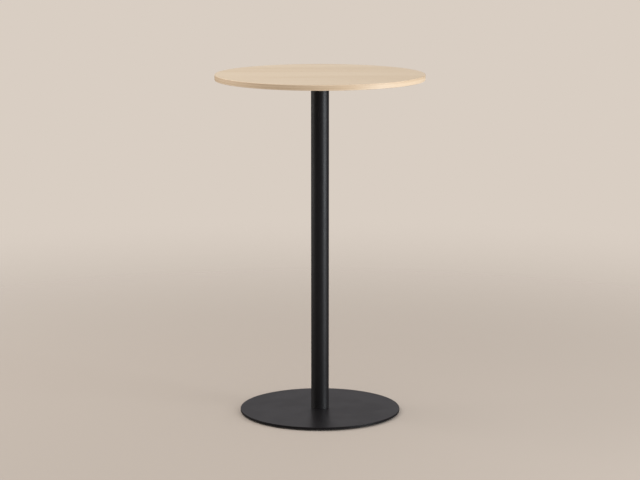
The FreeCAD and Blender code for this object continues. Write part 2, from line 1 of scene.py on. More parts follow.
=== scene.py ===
"""Looks of a standing meeting table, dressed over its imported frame.

The table is a round laminated top on a cast spider, a straight steel column, a round base
plate and four screw glides. Lengths are metres, +Z is up, and the origin is on the floor in
the middle of the column. Each sub-assembly is a class that models its pieces and gives them
their finish. The studio round them is a stage and no part of the table.
"""

import json
import logging
import math
from abc import ABC, abstractmethod
from dataclasses import dataclass, replace
from enum import Enum
from functools import cache, partial, reduce
from typing import Any, Callable, Mapping, Optional, Sequence, Union

import bmesh
import bpy
from mathutils import Matrix, Vector


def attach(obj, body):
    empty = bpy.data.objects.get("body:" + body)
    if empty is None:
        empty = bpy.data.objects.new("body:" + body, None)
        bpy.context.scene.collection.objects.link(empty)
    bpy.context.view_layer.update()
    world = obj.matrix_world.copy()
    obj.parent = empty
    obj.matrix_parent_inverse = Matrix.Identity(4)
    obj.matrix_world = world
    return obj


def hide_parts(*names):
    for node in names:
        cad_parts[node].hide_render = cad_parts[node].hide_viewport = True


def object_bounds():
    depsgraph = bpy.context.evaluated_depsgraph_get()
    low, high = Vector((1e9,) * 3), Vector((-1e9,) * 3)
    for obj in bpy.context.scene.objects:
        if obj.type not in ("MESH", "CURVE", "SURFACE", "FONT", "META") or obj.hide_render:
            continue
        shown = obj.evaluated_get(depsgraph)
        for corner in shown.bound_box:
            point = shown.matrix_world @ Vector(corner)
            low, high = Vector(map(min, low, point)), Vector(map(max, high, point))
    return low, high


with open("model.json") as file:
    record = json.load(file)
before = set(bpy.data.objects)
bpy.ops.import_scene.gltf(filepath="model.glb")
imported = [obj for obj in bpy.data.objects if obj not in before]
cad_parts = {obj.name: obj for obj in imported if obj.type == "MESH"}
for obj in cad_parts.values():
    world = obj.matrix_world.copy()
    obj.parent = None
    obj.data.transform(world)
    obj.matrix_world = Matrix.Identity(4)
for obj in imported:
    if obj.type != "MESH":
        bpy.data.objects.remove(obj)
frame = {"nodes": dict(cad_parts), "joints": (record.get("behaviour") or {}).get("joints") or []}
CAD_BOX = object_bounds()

LOG = logging.getLogger("standing_table")

Colour = tuple[float, float, float, float]
Point = tuple[float, float, float]
Pair = tuple[float, float]
Socket = bpy.types.NodeSocket
Sockets = Mapping[Any, Socket]
Feed = Union[float, Sequence[float], Socket]
Recipe = Callable[["Wiring", Sockets], dict[str, Socket]]

MILLIMETRE = 0.001
MERGE_DISTANCE = 1e-6
SAME_PLACE = 1e-5
ON_AXIS = 1e-4
FULL_TURN = 2 * math.pi
QUARTER_TURN = math.pi / 2
SHARP_ANGLE = math.radians(32)
FLAT_ANGLE = math.radians(0.7)
BEARING_DIGITS = 3
HEXAGON = 6
SOCKET_LEAD = 0.06
DRILL_SLOPE = 3
SPARE_TURNS = 2


class Slot(Enum):
    """The record's material slots."""

    TOP_LAMINATE = "top_laminate"
    BACKING_LAMINATE = "backing_laminate"
    EDGE_BAND = "edge_band"
    CHIPBOARD = "chipboard"
    POWDER_COAT = "black_powder_coat"
    CASTING = "cast_aluminium"
    ZINC = "zinc_plated_steel"
    BARE_STEEL = "bare_steel"
    NYLON = "black_nylon"


def srgb(red: int, green: int, blue: int) -> Colour:
    """Turn a screen colour of 0 to 255 into the linear colour that shaders take.

    Args:
        red: Red, 0 to 255.
        green: Green, 0 to 255.
        blue: Blue, 0 to 255.

    Returns:
        The linear colour, with an alpha of 1.
    """
    def linear(step: int) -> float:
        """The linear value of one channel."""
        share = step / 255
        return share / 12.92 if share <= 0.04045 else ((share + 0.055) / 1.055) ** 2.4
    return (linear(red), linear(green), linear(blue), 1.0)


def put_in_scene(name: str, data: bpy.types.ID) -> bpy.types.Object:
    """Make an object of some data and link it to the scene.

    Args:
        name: The object's name.
        data: Its mesh, lamp or camera.

    Returns:
        The object.
    """
    made = bpy.data.objects.new(name, data)
    bpy.context.scene.collection.objects.link(made)
    return made


# ---- where the CAD pieces lie -----------------------------------------------------------

@dataclass(frozen=True)
class Corner:
    """One corner of a profile that is turned round an upright axis.

    Attributes:
        radius: Its distance from the axis.
        height: Its level.
        rounding: The radius that is worked on it.
    """

    radius: float
    height: float
    rounding: float = 0.0


@dataclass(frozen=True)
class Envelope:
    """Where one round solid of the frame lies.

    Attributes:
        x: Its axis along X.
        y: Its axis along Y.
        radius: Its largest radius.
        foot: Its lowest level.
        head: Its highest level.
    """

    x: float
    y: float
    radius: float
    foot: float
    head: float

    @property
    def axis(self) -> Pair:
        """Its upright axis."""
        return (self.x, self.y)

    @property
    def bearing(self) -> float:
        """Its bearing from the column, in radians from +X."""
        return math.atan2(self.y, self.x)

    @classmethod
    def around(cls, points: Sequence[Vector]) -> "Envelope":
        """The envelope of a solid's points.

        Args:
            points: The solid's vertices.

        Returns:
            Its envelope, with the axis in the middle of its box, or the column's own axis.
        """
        spans = [(min(levels), max(levels)) for levels in zip(*points)]
        x, y = (sum(span) / 2 for span in spans[:2])
        if math.hypot(x, y) < ON_AXIS:
            x = y = 0.0
        radius = max(math.hypot(point.x - x, point.y - y) for point in points)
        return cls(x, y, radius, *spans[2])

    @classmethod
    def of(cls, node: str) -> "Envelope":
        """The envelope of all the points of a node."""
        return cls.around([vertex.co for vertex in frame["nodes"][node].data.vertices])

    @classmethod
    def each(cls, node: str) -> list["Envelope"]:
        """The envelope of each separate solid in a node.

        Args:
            node: The node's name.

        Returns:
            One envelope a solid, in order of bearing and then of distance from the column.
        """
        work = Model.of(node).work
        waiting = set(work.verts)
        solids = []
        while waiting:
            todo = [waiting.pop()]
            points = []
            while todo:
                vertex = todo.pop()
                points.append(vertex.co.copy())
                fresh = [edge.other_vert(vertex) for edge in vertex.link_edges]
                fresh = [other for other in fresh if other in waiting]
                waiting.difference_update(fresh)
                todo.extend(fresh)
            solids.append(cls.around(points))
        work.free()
        return sorted(solids, key=lambda one: (round(one.bearing, BEARING_DIGITS),
                                               math.hypot(*one.axis)))

    def wall(self, radius: float) -> list[Corner]:
        """The profile of an upright wall as high as the solid."""
        return [Corner(radius, self.foot), Corner(radius, self.head)]

    def ring(self, bore: float, rounding: float) -> list[Corner]:
        """The profile of a ring with its two outer edges rounded.

        Args:
            bore: The radius inside.
            rounding: The radius of the outer edges.

        Returns:
            Its corners, from the lower inner one round to the upper inner one.
        """
        inner = self.wall(bore)
        outer = [replace(corner, rounding=rounding) for corner in self.wall(self.radius)]
        return [inner[0], *outer, inner[1]]


# ---- modelling --------------------------------------------------------------------------

class Model:
    """A mesh in the making."""

    def __init__(self) -> None:
        """Start with nothing."""
        self.work = bmesh.new()

    @classmethod
    def of(cls, node: str) -> "Model":
        """A merged copy of a CAD node.

        Args:
            node: The node's name.

        Returns:
            The copy.
        """
        model = cls()
        model.work.from_mesh(frame["nodes"][node].data)
        model.merge()
        return model

    def merge(self) -> None:
        """Merge the points that lie in one place."""
        bmesh.ops.remove_doubles(self.work, verts=self.work.verts, dist=MERGE_DISTANCE)

    def join_flat(self) -> None:
        """Make each flat face one piece."""
        bmesh.ops.dissolve_limit(self.work, angle_limit=FLAT_ANGLE, verts=self.work.verts,
                                 edges=self.work.edges)

    def add(self, other: "Model") -> None:
        """Take in another model, which is used up.

        Args:
            other: The other model.
        """
        mesh = bpy.data.meshes.new("passing")
        other.work.to_mesh(mesh)
        other.work.free()
        self.work.from_mesh(mesh)
        bpy.data.meshes.remove(mesh)

    def bevel(self, edges: Sequence[bmesh.types.BMEdge], width: float, segments: int) -> None:
        """Round or break some edges.

        Args:
            edges: The edges.
            width: How far back each face is taken.
            segments: Facets over the corner.
        """
        bmesh.ops.bevel(self.work, geom=list(edges), offset=width, offset_type="OFFSET",
                        affect="EDGES", segments=segments, profile=0.5, material=-1)

    def turn(self, profile: Sequence[Corner], steps: int, axis: Pair = (0.0, 0.0),
             closed: bool = False, round_steps: int = 4) -> None:
        """Turn a profile round an upright axis, and round its marked corners.

        Args:
            profile: Its corners, from one end to the other.
            steps: Facets round the piece.
            axis: The axis, as x and y.
            closed: Whether the last corner runs back to the first, as round a tube's wall.
            round_steps: Facets over each rounded corner.
        """
        x, y = axis
        points = [self.work.verts.new((x + corner.radius, y, corner.height))
                  for corner in profile]
        ends = points[1:] + points[:1] if closed else points[1:]
        edges = [self.work.edges.new(pair) for pair in zip(points, ends)]
        bmesh.ops.spin(self.work, geom=points + edges, cent=(x, y, 0), axis=(0, 0, 1),
                       dvec=(0, 0, 0), angle=FULL_TURN, steps=steps, use_merge=True)
        self.merge()
        for corner in profile:
            if corner.rounding:
                self.bevel(self.ring_edges(corner, axis), corner.rounding, round_steps)

    def ring_edges(self, corner: Corner, axis: Pair) -> list[bmesh.types.BMEdge]:
        """The edges of the ring that a corner was turned into.

        Args:
            corner: The corner.
            axis: The axis that it was turned round.

        Returns:
            The ring's edges.
        """
        def on_ring(vertex: bmesh.types.BMVert) -> bool:
            """Whether a point lies on the ring."""
            reach = math.hypot(vertex.co.x - axis[0], vertex.co.y - axis[1])
            return (abs(vertex.co.z - corner.height) < SAME_PLACE
                    and abs(reach - corner.radius) < SAME_PLACE)
        return [edge for edge in self.work.edges if all(map(on_ring, edge.verts))]

    def fill_levels(self, *levels: float) -> None:
        """Fill a flat face between the open rims that lie at each level.

        Args:
            levels: The levels.
        """
        for level in levels:
            rims = [edge for edge in self.work.edges if edge.is_boundary
                    and all(abs(vertex.co.z - level) < SAME_PLACE for vertex in edge.verts)]
            bmesh.ops.triangle_fill(self.work, edges=rims, use_beauty=True)

    def sink_socket(self, half_width: float, level: float, depth: float, axis: Pair,
                    turned_by: float) -> None:
        """Sink a hexagon socket upwards into the one open face of a head.

        Args:
            half_width: Half its width across flats.
            level: The level of the face.
            depth: Its depth, without the drill's cone.
            axis: Its axis.
            turned_by: How far its corners are turned, in radians.
        """
        place = Matrix.Translation((*axis, level)) @ Matrix.Rotation(turned_by, 4, "Z")
        bmesh.ops.create_circle(self.work, segments=HEXAGON, matrix=place,
                                radius=half_width / math.cos(math.pi / HEXAGON))
        mouth = [edge for edge in self.work.edges if edge.is_wire]
        made = bmesh.ops.extrude_edge_only(self.work, edges=mouth)["geom"]
        raised = [item for item in made if isinstance(item, bmesh.types.BMVert)]
        bmesh.ops.translate(self.work, verts=raised, vec=(0, 0, depth))
        self.fill_levels(level)
        floor_rim = [edge for edge in self.work.edges if edge.is_boundary]
        floor = bmesh.ops.contextual_create(self.work, geom=floor_rim)["faces"]
        tip = bmesh.ops.poke(self.work, faces=floor)["verts"]
        bmesh.ops.translate(self.work, verts=tip, vec=(0, 0, half_width / DRILL_SLOPE))
        self.bevel(mouth, half_width * SOCKET_LEAD, segments=1)

    def soften(self, width: float, least_angle: float, segments: int = 2) -> None:
        """Round every outward edge that is sharper than an angle.

        Args:
            width: How far back each face is taken.
            least_angle: The angle, in radians.
            segments: Facets over each edge.
        """
        sharp = [edge for edge in self.work.edges if edge.is_manifold
                 and edge.calc_face_angle_signed() > least_angle]
        self.bevel(sharp, width, segments)

    def mesh(self, name: str) -> bpy.types.Mesh:
        """Close the model, turn its faces outwards and use it up.

        Args:
            name: The mesh's name.

        Returns:
            The mesh, smooth but for its sharp edges.
        """
        self.merge()
        bmesh.ops.recalc_face_normals(self.work, faces=self.work.faces)
        mesh = bpy.data.meshes.new(name)
        self.work.to_mesh(mesh)
        self.work.free()
        mesh.shade_smooth()
        mesh.set_sharp_from_angle(angle=SHARP_ANGLE)
        return mesh


@dataclass(frozen=True)
class Thread:
    """A screw thread on a round bar. Its shares are of the pitch.

    Attributes:
        radius: The crest.
        pitch: The rise of one turn.
        steps: Facets round one turn.
        groove_share: The depth of the groove.
        root_share: Half the flat at the bottom of the groove.
        crest_share: Half the flat of the crest.
        tip_share: How much narrower the tip is than the root, all round.
    """

    radius: float
    pitch: float
    steps: int = 40
    groove_share: float = 0.61
    root_share: float = 0.125
    crest_share: float = 0.0625
    tip_share: float = 0.2

    @property
    def root(self) -> float:
        """The radius at the bottom of the groove."""
        return self.radius - self.groove_share * self.pitch

    def bar(self, foot: float, head: float, tip: float, axis: Pair = (0.0, 0.0)) -> Model:
        """A closed length of threaded bar with one end chamfered.

        It is made round the origin, where a long spin stays exact, and then set in place.

        Args:
            foot: Its lower end.
            head: Its upper end.
            tip: The level of the chamfered end.
            axis: Its axis.

        Returns:
            The bar.
        """
        model = Model()
        work = model.work
        length = head - foot
        turns = math.ceil(length / self.pitch) + SPARE_TURNS
        shape = ((self.root, 0.0), (self.root, self.root_share),
                 (self.radius, 0.5 - self.crest_share), (self.radius, 0.5 + self.crest_share),
                 (self.root, 1.0 - self.root_share), (self.root, 1.0))
        points = [work.verts.new((reach, 0.0, (share - 1) * self.pitch))
                  for reach, share in shape]
        edges = [work.edges.new(pair) for pair in zip(points, points[1:])]
        bmesh.ops.spin(work, geom=points + edges, cent=(0, 0, 0), axis=(0, 0, 1),
                       dvec=(0, 0, self.pitch / self.steps), angle=FULL_TURN * turns,
                       steps=self.steps * turns, use_merge=False)
        model.merge()
        for level, outwards in ((0.0, -1), (length, 1)):
            bmesh.ops.bisect_plane(work, geom=work.verts[:] + work.edges[:] + work.faces[:],
                                   plane_co=(0, 0, level), plane_no=(0, 0, outwards),
                                   clear_outer=True)
        bmesh.ops.holes_fill(work, edges=[edge for edge in work.edges if edge.is_boundary])
        for vertex in work.verts:
            limit = self.root - self.tip_share * self.pitch + abs(vertex.co.z + foot - tip)
            share = min(1.0, limit / max(math.hypot(vertex.co.x, vertex.co.y), SAME_PLACE))
            vertex.co.x *= share
            vertex.co.y *= share
        bmesh.ops.translate(work, verts=work.verts, vec=(*axis, foot))
        return model


# ---- shader wiring ----------------------------------------------------------------------

class Wiring:
    """Adds nodes to one node tree and joins them."""

    def __init__(self, tree: bpy.types.NodeTree) -> None:
        """Work on this tree."""
        self.tree = tree

    @classmethod
    def afresh(cls, block: Union[bpy.types.Material, bpy.types.World]) -> "Wiring":
        """Start the nodes of a material or world from nothing.

        Args:
            block: The material or world.

        Returns:
            The wiring of its tree.
        """
        block.use_nodes = True
        block.node_tree.nodes.clear()
        return cls(block.node_tree)

    def add(self, kind: str, feeds: Optional[Mapping[Any, Feed]] = None,
            **settings: Any) -> bpy.types.Node:
        """Add a node.

        Args:
            kind: Blender's name for the kind of node.
            feeds: What goes into its sockets, by their name or number.
            settings: Its properties.

        Returns:
            The node.
        """
        node = self.tree.nodes.new(kind)
        for name, setting in settings.items():
            setattr(node, name, setting)
        for socket, feed in (feeds or {}).items():
            if isinstance(feed, Socket):
                self.tree.links.new(feed, node.inputs[socket])
            else:
                node.inputs[socket].default_value = feed
        return node

    def math(self, operation: str, *values: Feed) -> Socket:
        """The result of a sum on some values."""
        feeds = dict(enumerate(values))
        return self.add("ShaderNodeMath", feeds, operation=operation).outputs[0]

    def total(self, *parts: tuple[Feed, float]) -> Socket:
        """The sum of some values, each times its share."""
        terms = [self.math("MULTIPLY", value, share) for value, share in parts]
        return reduce(partial(self.math, "ADD"), terms)

    def remap(self, value: Feed, low: float, high: float, to_low: float = 0.0,
              to_high: float = 1.0) -> Socket:
        """A value moved smoothly from one range to another, and held within it.

        Args:
            value: The value.
            low: Where the range starts.
            high: Where it ends.
            to_low: What the start becomes.
            to_high: What the end becomes.

        Returns:
            The new value.
        """
        feeds = {0: value, 1: low, 2: high, 3: to_low, 4: to_high}
        return self.add("ShaderNodeMapRange", feeds, clamp=True,
                        interpolation_type="SMOOTHSTEP").outputs[0]

    def stretch(self, vector: Feed, scale: Point) -> Socket:
        """A vector scaled along each axis."""
        return self.add("ShaderNodeMapping", {"Vector": vector, "Scale": scale}).outputs[0]

    def noise(self, vector: Feed, scale: Feed = 1.0, detail: float = 2.0,
              roughness: float = 0.5) -> Socket:
        """Soft noise from 0 to 1, with so many waves a unit and finer layers."""
        feeds = {"Vector": vector, "Scale": scale, "Detail": detail, "Roughness": roughness}
        return self.add("ShaderNodeTexNoise", feeds).outputs[0]

    def mix(self, share: Feed, first: Feed, second: Feed) -> Socket:
        """A colour between two."""
        feeds = {0: share, 6: first, 7: second}
        return self.add("ShaderNodeMix", feeds, data_type="RGBA").outputs[2]

    def mix_shader(self, share: Feed, first: Socket, second: Socket) -> Socket:
        """A shader between two."""
        return self.add("ShaderNodeMixShader", {0: share, 1: first, 2: second}).outputs[0]

    def bump(self, height: Feed, distance: float) -> Socket:
        """A normal bent by a height map, of which 1 measures the distance."""
        feeds = {"Height": height, "Distance": distance, "Strength": 1.0}
        return self.add("ShaderNodeBump", feeds).outputs["Normal"]

    def place(self) -> Socket:
        """The surface point in the table's own frame."""
        return self.add("ShaderNodeTexCoord").outputs["Object"]

    def parts(self, vector: Feed) -> list[Socket]:
        """The X, Y and Z of a vector."""
        return list(self.add("ShaderNodeSeparateXYZ", {0: vector}).outputs)

    def effect(self, recipe: Recipe, **feeds: Feed) -> Sockets:
        """Place an effect's node group, and give its outputs."""
        tree = group_of(recipe, tuple(feeds))
        return self.add("ShaderNodeGroup", feeds, node_tree=tree).outputs


@cache
def group_of(recipe: Recipe, takes: tuple[str, ...]) -> bpy.types.NodeTree:
    """Build the node group of an effect, once.

    Args:
        recipe: What makes the group's outputs, all floats, from its inputs.
        takes: Its inputs: a Vector in metres, and any others as floats.

    Returns:
        The group.
    """
    tree = bpy.data.node_groups.new(recipe.__name__, "ShaderNodeTree")
    for name in takes:
        kind = "NodeSocketVector" if name == "Vector" else "NodeSocketFloat"
        tree.interface.new_socket(name=name, in_out="INPUT", socket_type=kind)
    wiring = Wiring(tree)
    gives = recipe(wiring, wiring.add("NodeGroupInput").outputs)
    for name in gives:
        tree.interface.new_socket(name=name, in_out="OUTPUT", socket_type="NodeSocketFloat")
    wiring.add("NodeGroupOutput", gives)
    return tree


@dataclass(frozen=True)
class Layer:
    """One layer of soft noise.

    Attributes:
        waves: Waves a metre, all round or along each axis.
        detail: Its finer layers.
        roughness: How strong the finer layers are.
        low: The noise at which its mask starts.
        high: The noise at which its mask is full.
    """

    waves: Union[float, Point]
    detail: float = 2.0
    roughness: float = 0.5
    low: float = 0.3
    high: float = 0.7

    def noise(self, wiring: Wiring, vector: Feed) -> Socket:
        """The plain noise at a vector in metres.

        Args:
            wiring: The tree that it is added to.
            vector: The vector.

        Returns:
            The noise, from 0 to 1.
        """
        if isinstance(self.waves, tuple):
            vector = wiring.stretch(vector, self.waves)
            return wiring.noise(vector, 1.0, self.detail, self.roughness)
        return wiring.noise(vector, self.waves, self.detail, self.roughness)

    def mask(self, wiring: Wiring, vector: Feed) -> Socket:
        """The noise between its two levels, from 0 to 1."""
        return wiring.remap(self.noise(wiring, vector), self.low, self.high)


FIGURE = Layer((1.1, 19.0, 1.1), detail=3.0, roughness=0.45)
STREAKS = Layer((4.0, 330.0, 4.0), detail=4.0, roughness=0.6)
PORES = Layer((55.0, 1700.0, 55.0), detail=1.0, low=0.62, high=0.72)
TONE = Layer(9.0, detail=3.0)
RUBBED = Layer(6.0, detail=5.0, roughness=0.6, low=0.52, high=0.78)
LONG_HAIRS = Layer((14.0, 900.0, 14.0), low=0.71, high=0.76)
CROSS_HAIRS = Layer((700.0, 11.0, 11.0), low=0.72, high=0.77)
BLOTCHES = Layer(160.0, detail=4.0, roughness=0.6)
TOOL_LINES = Layer((120.0, 120.0, 5200.0))
CRYSTALS = Layer(2600.0, detail=3.0, roughness=0.65)

DIMPLE_SHARE = 0.65
PIT_SHARE = 0.35
PIT_FINENESS = 2.7
LINE_SHARE = 0.5
CRYSTAL_SHARE = 0.5


def wood_grain(wiring: Wiring, takes: Sockets) -> dict[str, Socket]:
    """Straight printed grain along the vector's X: broad figure, fine streaks and pores."""
    layers = {"Figure": FIGURE, "Streaks": STREAKS, "Pores": PORES}
    return {name: layer.mask(wiring, takes["Vector"]) for name, layer in layers.items()}


def fine_texture(wiring: Wiring, takes: Sockets) -> dict[str, Socket]:
    """The dimpled texture of a sprayed, cast or moulded skin, and a slow change of tone.

    Args:
        wiring: The group's tree.
        takes: A vector, and the width of the dimples.

    Returns:
        The height of the dimples, and the tone.
    """
    vector = takes["Vector"]
    scale = wiring.math("DIVIDE", 1.0, takes["Width"])
    finer = wiring.math("MULTIPLY", scale, PIT_FINENESS)
    pits = wiring.add("ShaderNodeTexVoronoi", {"Vector": vector, "Scale": finer},
                      feature="SMOOTH_F1").outputs[0]
    height = wiring.total((wiring.noise(vector, scale), DIMPLE_SHARE), (pits, PIT_SHARE))
    return {"Height": height, "Tone": TONE.mask(wiring, vector)}


def handling(wiring: Wiring, takes: Sockets) -> dict[str, Socket]:
    """The light marks that use leaves.

    Args:
        wiring: The group's tree.
        takes: A vector.

    Returns:
        The masks of rubbed patches, and of the hairline scratches in them.
    """
    rubbed, *hairs = (layer.mask(wiring, takes["Vector"])
                      for layer in (RUBBED, LONG_HAIRS, CROSS_HAIRS))
    scratches = wiring.math("MULTIPLY", wiring.math("MAXIMUM", *hairs), rubbed)
    return {"Rubbed": rubbed, "Scratches": scratches}


def metal_skin(wiring: Wiring, takes: Sockets) -> dict[str, Socket]:
    """The uneven skin of plated or turned steel.

    Args:
        wiring: The group's tree.
        takes: A vector.

    Returns:
        A blotchy tone, and the height of a fine crystalline skin with tool lines that run
        level round the piece.
    """
    vector = takes["Vector"]
    height = wiring.total((TOOL_LINES.noise(wiring, vector), LINE_SHARE),
                          (CRYSTALS.noise(wiring, vector), CRYSTAL_SHARE))
    return {"Blotches": BLOTCHES.mask(wiring, vector), "Height": height}


# ---- finishes ---------------------------------------------------------------------------

@dataclass(frozen=True)
class Finish(ABC):
    """A surface finish, as one material.

    Attributes:
        name: The material's name.
        colour: Its main colour.
        roughness: Its mean roughness.
        specular: How strong its plain gloss is.
        metallic: 1 for bare metal.
        smoother: How far the roughness falls below its mean.
        rougher: How far it rises above it.
    """

    name: str
    colour: Colour
    roughness: float
    specular: float = 0.5
    metallic: float = 0.0
    smoother: float = 0.0
    rougher: float = 0.0

    def material(self) -> bpy.types.Material:
        """Make the material.

        Returns:
            A material with its own Principled shader.
        """
        made = bpy.data.materials.new(self.name)
        wiring = Wiring.afresh(made)
        shader = wiring.add("ShaderNodeBsdfPrincipled", {
            "Base Color": self.colour, "Roughness": self.roughness,
            "Specular IOR Level": self.specular, "Metallic": self.metallic})
        wiring.add("ShaderNodeOutputMaterial", {"Surface": shader.outputs["BSDF"]})
        for socket, feed in self.feeds(wiring).items():
            wiring.tree.links.new(feed, shader.inputs[socket])
        return made

    @abstractmethod
    def feeds(self, wiring: Wiring) -> dict[str, Socket]:
        """What changes over the surface, by the shader's own socket names."""

    def gloss(self, wiring: Wiring, mask: Socket) -> Socket:
        """The roughness, smoothest where a mask is 0."""
        return wiring.remap(mask, 0.0, 1.0, self.roughness - self.smoother,
                            self.roughness + self.rougher)


@dataclass(frozen=True)
class Laminate(Finish):
    """Wood-look laminate with its grain along X.

    Attributes:
        dark: The colour of the dark grain.
        figure_share: How far the broad figure goes towards the dark colour.
        streak_share: How far the fine streaks go.
        pore_share: How far the pores go.
        pore_depth: How deep the pores are pressed.
    """

    smoother: float = 0.04
    rougher: float = 0.05
    dark: Colour = srgb(190, 163, 128)
    figure_share: float = 0.22
    streak_share: float = 0.16
    pore_share: float = 0.30
    pore_depth: float = 0.03 * MILLIMETRE

    def grain_vector(self, wiring: Wiring) -> Socket:
        """The vector along whose X the grain runs."""
        return wiring.place()

    def feeds(self, wiring: Wiring) -> dict[str, Socket]:
        """Grain in the colour, the gloss and the surface.

        Args:
            wiring: The material's tree.

        Returns:
            What feeds the shader.
        """
        grain = wiring.effect(wood_grain, Vector=self.grain_vector(wiring))
        share = wiring.total((grain["Figure"], self.figure_share),
                             (grain["Streaks"], self.streak_share),
                             (grain["Pores"], self.pore_share))
        hollow = wiring.math("SUBTRACT", 1.0, grain["Pores"])
        return {"Base Color": wiring.mix(share, self.colour, self.dark),
                "Roughness": self.gloss(wiring, grain["Streaks"]),
                "Normal": wiring.bump(hollow, self.pore_depth)}


@dataclass(frozen=True)
class EdgeBanding(Laminate):
    """Wood-look edge band: the grain runs round the rim, and its ends meet in one joint.

    Attributes:
        rise: How much faster the grain changes up the band than the group's own scale.
        joint: The colour of the joint between the band's ends.
        joint_share: How far the joint takes on that colour.
        joint_width: Half its width.
    """

    rise: float = 7.0
    joint: Colour = srgb(92, 70, 46)
    joint_share: float = 0.7
    joint_width: float = 0.12 * MILLIMETRE

    def grain_vector(self, wiring: Wiring) -> Socket:
        """Slow across the table and fast up the band.

        Args:
            wiring: The material's tree.

        Returns:
            The vector.
        """
        across, along, up = wiring.parts(wiring.place())
        fast = wiring.math("MULTIPLY", up, self.rise)
        return wiring.add("ShaderNodeCombineXYZ", {0: across, 1: fast, 2: along}).outputs[0]

    def feeds(self, wiring: Wiring) -> dict[str, Socket]:
        """The laminate's grain, and a hairline at the joint behind the column.

        Args:
            wiring: The material's tree.

        Returns:
            What feeds the shader.
        """
        made = super().feeds(wiring)
        across, along, _ = wiring.parts(wiring.place())
        near = wiring.remap(wiring.math("ABSOLUTE", across), self.joint_width,
                            2 * self.joint_width, 1.0, 0.0)
        behind = wiring.math("GREATER_THAN", along, 0.0)
        share = wiring.math("MULTIPLY", wiring.math("MULTIPLY", near, behind), self.joint_share)
        made["Base Color"] = wiring.mix(share, made["Base Color"], self.joint)
        return made


@dataclass(frozen=True)
class Chipboard(Finish):
    """Bare pressed chips.

    Attributes:
        dark: The colour of the dark chips.
        chip: The length of a chip.
        pressed: How many times shorter it is upwards.
        relief: How far chips stand proud of each other.
    """

    dark: Colour = srgb(150, 118, 80)
    chip: float = 3 * MILLIMETRE
    pressed: float = 2.5
    relief: float = 0.15 * MILLIMETRE

    def feeds(self, wiring: Wiring) -> dict[str, Socket]:
        """Chips of several tones, slightly proud of each other.

        Args:
            wiring: The material's tree.

        Returns:
            What feeds the shader.
        """
        chips = wiring.add("ShaderNodeTexVoronoi", {
            "Vector": wiring.stretch(wiring.place(), (1.0, 1.0, self.pressed)),
            "Scale": 1 / self.chip})
        tone = wiring.add("ShaderNodeSeparateColor", {0: chips.outputs["Color"]}).outputs[0]
        return {"Base Color": wiring.mix(tone, self.colour, self.dark),
                "Normal": wiring.bump(tone, self.relief)}


@dataclass(frozen=True)
class Coating(Finish):
    """A dark coat or moulded plastic with a fine dimpled skin.

    Attributes:
        rubbed: The colour where use has rubbed it.
        rubbed_share: How far the rubbed patches take on that colour.
        scratch_share: How far the scratches do.
        polish: How much smoother the rubbed patches are.
        dimple: The width of its dimples.
        depth: Their depth.
    """

    smoother: float = 0.02
    rougher: float = 0.02
    rubbed: Colour = srgb(58, 57, 58)
    rubbed_share: float = 0.04
    scratch_share: float = 0.25
    polish: float = 0.02
    dimple: float = 0.9 * MILLIMETRE
    depth: float = 0.03 * MILLIMETRE

    def feeds(self, wiring: Wiring) -> dict[str, Socket]:
        """Dimples, an uneven gloss and light marks of use.

        Args:
            wiring: The material's tree.

        Returns:
            What feeds the shader.
        """
        place = wiring.place()
        skin = wiring.effect(fine_texture, Vector=place, Width=self.dimple)
        use = wiring.effect(handling, Vector=place)
        worn = wiring.total((use["Rubbed"], self.rubbed_share),
                            (use["Scratches"], self.scratch_share))
        polished = wiring.math("SUBTRACT", self.gloss(wiring, skin["Tone"]),
                               wiring.math("MULTIPLY", use["Rubbed"], self.polish))
        return {"Base Color": wiring.mix(worn, self.colour, self.rubbed), "Roughness": polished,
                "Normal": wiring.bump(skin["Height"], self.depth)}


@dataclass(frozen=True)
class Metal(Finish):
    """Plated or turned bare metal.

    Attributes:
        tint: The colour of its blotches.
        relief: How deep its skin is worked.
    """

    metallic: float = 1.0
    smoother: float = 0.06
    rougher: float = 0.08
    tint: Colour = srgb(196, 194, 182)
    relief: float = 0.03 * MILLIMETRE

    def feeds(self, wiring: Wiring) -> dict[str, Socket]:
        """Blotches in the colour and the gloss, and a faint relief.

        Args:
            wiring: The material's tree.

        Returns:
            What feeds the shader.
        """
        skin = wiring.effect(metal_skin, Vector=wiring.place())
        return {"Base Color": wiring.mix(skin["Blotches"], self.colour, self.tint),
                "Roughness": self.gloss(wiring, skin["Blotches"]),
                "Normal": wiring.bump(skin["Height"], self.relief)}


FINISHES: dict[Slot, Finish] = {
    Slot.TOP_LAMINATE: Laminate(
        "top_laminate_birch", srgb(219, 201, 177), roughness=0.46, specular=0.35),
    Slot.BACKING_LAMINATE: Laminate(
        "backing_laminate_pale", srgb(214, 203, 186), roughness=0.55, specular=0.3,
        dark=srgb(203, 190, 171), pore_share=0.1),
    Slot.EDGE_BAND: EdgeBanding(
        "edge_band_birch", srgb(225, 203, 176), roughness=0.52, specular=0.6,
        dark=srgb(178, 146, 107), figure_share=0.45, streak_share=0.22),
    Slot.CHIPBOARD: Chipboard(
        "chipboard_raw", srgb(196, 166, 124), roughness=0.85, specular=0.2),
    Slot.POWDER_COAT: Coating(
        "powder_coat_black", srgb(20, 18, 20), roughness=0.47, specular=0.39),
    Slot.CASTING: Coating(
        "casting_coated", srgb(28, 26, 28), roughness=0.5, specular=0.4,
        dimple=2.6 * MILLIMETRE, depth=0.16 * MILLIMETRE),
    Slot.ZINC: Metal("zinc_plate", srgb(188, 192, 196), roughness=0.34),
    Slot.BARE_STEEL: Metal(
        "steel_turned", srgb(150, 150, 152), roughness=0.38, tint=srgb(132, 130, 128),
        relief=0.05 * MILLIMETRE),
    Slot.NYLON: Coating(
        "nylon_black", srgb(24, 24, 25), roughness=0.5, specular=0.4,
        dimple=0.5 * MILLIMETRE, depth=0.015 * MILLIMETRE),
}

